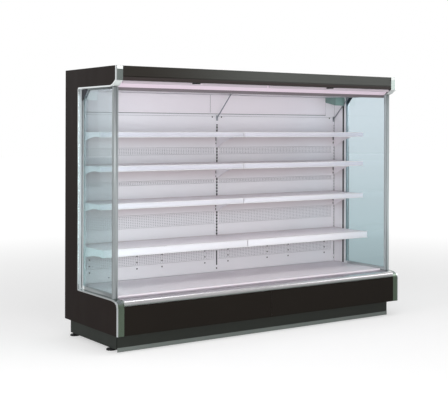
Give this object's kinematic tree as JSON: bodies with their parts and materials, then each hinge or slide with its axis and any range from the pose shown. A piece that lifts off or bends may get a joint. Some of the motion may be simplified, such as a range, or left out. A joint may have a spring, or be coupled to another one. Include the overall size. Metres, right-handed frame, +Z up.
{
  "type": "open multideck display fridge",
  "caption": "Open-fronted upright display fridge with foamed C-shaped end walls, glass sides, tilting hook-in shelves, night blinds, finned coil and fans under the deck.",
  "frame": {"origin": "centre of the footprint, on the floor", "axes": "+X along the length to the customer's right, +Y from the open front to the back, +Z up"},
  "size_m": [2.61, 0.86, 2],
  "materials": {
    "brown_foamed_panel": "brown-black coated skin over foam, satin",
    "brown_steel": "brown-black paint, semi-gloss",
    "aluminium_trim": "satin anodised",
    "side_glass": "clear, blue-green tint",
    "white_foamed_tank": "white coated skin over foam",
    "white_steel": "white powder coat",
    "white_plastic": "white extruded plastic",
    "lamp_white": "lit opal plastic",
    "dark_grey_plastic": "grey moulding",
    "grille_aluminium": "perforated, satin",
    "galvanised_steel": "zinc coated",
    "coil_aluminium": "plain fin stock",
    "plinth_steel": "dark green-grey paint",
    "blind_bar_aluminium": "satin anodised",
    "blind_roller_film": "wound reflective film",
    "black_plastic": "black moulding"
  },
  "bodies": {
    "cabinet": {"end_panel_left": "brown_foamed_panel", "end_panel_right": "brown_foamed_panel", "edge_trim_left": "aluminium_trim", "edge_trim_right": "aluminium_trim", "side_glass_left": "side_glass", "side_glass_right": "side_glass", "glass_frame_left": "aluminium_trim", "glass_frame_right": "aluminium_trim", "insulated_tank": "white_foamed_tank", "fascia": "brown_steel", "lamp_diffuser": "lamp_white", "lamp_tube_left": "lamp_white", "lamp_tube_right": "lamp_white", "air_honeycomb": "dark_grey_plastic", "canopy_lining": "white_steel", "upper_cover": "white_steel", "rear_panel_left": "white_steel", "rear_panel_right": "white_steel", "upright_left": "white_steel", "upright_centre": "white_steel", "upright_right": "white_steel", "canopy_stay_left": "galvanised_steel", "canopy_stay_centre": "galvanised_steel", "canopy_stay_right": "galvanised_steel", "front_panel_left": "brown_steel", "front_panel_right": "brown_steel", "bumper_rail": "aluminium_trim", "return_grille": "grille_aluminium", "deck_pan_left": "white_steel", "deck_pan_right": "white_steel", "fan_plate": "galvanised_steel", "evaporator": "coil_aluminium", "plinth": "plinth_steel", "base_frame": "plinth_steel"},
    "blind_bar_left": {"blind_bar_left": "blind_bar_aluminium"},
    "blind_bar_right": {"blind_bar_right": "blind_bar_aluminium"},
    "blind_roller_left": {"blind_roller_left": "blind_roller_film"},
    "blind_roller_right": {"blind_roller_right": "blind_roller_film"},
    "shelf_1_left": {"shelf_1_left": "white_steel", "price_rail_1_left": "white_plastic"},
    "shelf_1_right": {"shelf_1_right": "white_steel", "price_rail_1_right": "white_plastic"},
    "shelf_2_left": {"shelf_2_left": "white_steel", "price_rail_2_left": "white_plastic"},
    "shelf_2_right": {"shelf_2_right": "white_steel", "price_rail_2_right": "white_plastic"},
    "shelf_3_left": {"shelf_3_left": "white_steel", "price_rail_3_left": "white_plastic"},
    "shelf_3_right": {"shelf_3_right": "white_steel", "price_rail_3_right": "white_plastic"},
    "shelf_4_left": {"shelf_4_left": "white_steel", "price_rail_4_left": "white_plastic"},
    "shelf_4_right": {"shelf_4_right": "white_steel", "price_rail_4_right": "white_plastic"},
    "fan_left": {"fan_left": "black_plastic"},
    "fan_right": {"fan_right": "black_plastic"},
    "foot_front_left": {"foot_front_left": "black_plastic"},
    "foot_front_right": {"foot_front_right": "black_plastic"},
    "foot_rear_left": {"foot_rear_left": "black_plastic"},
    "foot_rear_right": {"foot_rear_right": "black_plastic"}
  },
  "joints": [
    {"name": "blind_left_pull", "type": "slide", "parent": "cabinet", "child": "blind_bar_left", "axis": [0, 0, -1], "range_m": [0, 1.48], "stiffness_N_per_m": 12, "springref_m": -2},
    {"name": "blind_right_pull", "type": "slide", "parent": "cabinet", "child": "blind_bar_right", "axis": [0, 0, -1], "range_m": [0, 1.48], "stiffness_N_per_m": 12, "springref_m": -2},
    {"name": "blind_left_roll", "type": "hinge", "parent": "cabinet", "child": "blind_roller_left", "pos_m": [-0.625, -0.352, 1.962], "axis": [1, 0, 0], "range_deg": [0, 3600]},
    {"name": "blind_right_roll", "type": "hinge", "parent": "cabinet", "child": "blind_roller_right", "pos_m": [0.625, -0.352, 1.962], "axis": [1, 0, 0], "range_deg": [0, 3600]},
    {"name": "shelf_1_left_lift", "type": "hinge", "parent": "cabinet", "child": "shelf_1_left", "pos_m": [-0.625, 0.349, 0.677], "axis": [-1, 0, 0], "range_deg": [0, 20]},
    {"name": "shelf_1_right_lift", "type": "hinge", "parent": "cabinet", "child": "shelf_1_right", "pos_m": [0.625, 0.349, 0.677], "axis": [-1, 0, 0], "range_deg": [0, 20]},
    {"name": "shelf_2_left_lift", "type": "hinge", "parent": "cabinet", "child": "shelf_2_left", "pos_m": [-0.625, 0.349, 1.002], "axis": [-1, 0, 0], "range_deg": [0, 20]},
    {"name": "shelf_2_right_lift", "type": "hinge", "parent": "cabinet", "child": "shelf_2_right", "pos_m": [0.625, 0.349, 1.002], "axis": [-1, 0, 0], "range_deg": [0, 20]},
    {"name": "shelf_3_left_lift", "type": "hinge", "parent": "cabinet", "child": "shelf_3_left", "pos_m": [-0.625, 0.349, 1.277], "axis": [-1, 0, 0], "range_deg": [0, 20]},
    {"name": "shelf_3_right_lift", "type": "hinge", "parent": "cabinet", "child": "shelf_3_right", "pos_m": [0.625, 0.349, 1.277], "axis": [-1, 0, 0], "range_deg": [0, 20]},
    {"name": "shelf_4_left_lift", "type": "hinge", "parent": "cabinet", "child": "shelf_4_left", "pos_m": [-0.625, 0.349, 1.527], "axis": [-1, 0, 0], "range_deg": [0, 20]},
    {"name": "shelf_4_right_lift", "type": "hinge", "parent": "cabinet", "child": "shelf_4_right", "pos_m": [0.625, 0.349, 1.527], "axis": [-1, 0, 0], "range_deg": [0, 20]},
    {"name": "fan_left_spin", "type": "hinge", "parent": "cabinet", "child": "fan_left", "pos_m": [-0.625, -0.172, 0.284], "axis": [0, 1, 0], "continuous": true},
    {"name": "fan_right_spin", "type": "hinge", "parent": "cabinet", "child": "fan_right", "pos_m": [0.625, -0.172, 0.284], "axis": [0, 1, 0], "continuous": true},
    {"name": "foot_front_left_turn", "type": "hinge", "parent": "cabinet", "child": "foot_front_left", "pos_m": [-1.243, -0.219, 0.01], "axis": [0, 0, 1], "continuous": true},
    {"name": "foot_front_right_turn", "type": "hinge", "parent": "cabinet", "child": "foot_front_right", "pos_m": [1.243, -0.219, 0.01], "axis": [0, 0, 1], "continuous": true},
    {"name": "foot_rear_left_turn", "type": "hinge", "parent": "cabinet", "child": "foot_rear_left", "pos_m": [-1.243, 0.385, 0.01], "axis": [0, 0, 1], "continuous": true},
    {"name": "foot_rear_right_turn", "type": "hinge", "parent": "cabinet", "child": "foot_rear_right", "pos_m": [1.243, 0.385, 0.01], "axis": [0, 0, 1], "continuous": true}
  ],
  "couplings": [
    {"joint": "blind_left_roll", "follows": "blind_left_pull", "rad_per_m": 41.667},
    {"joint": "blind_right_roll", "follows": "blind_right_pull", "rad_per_m": 41.667}
  ]
}
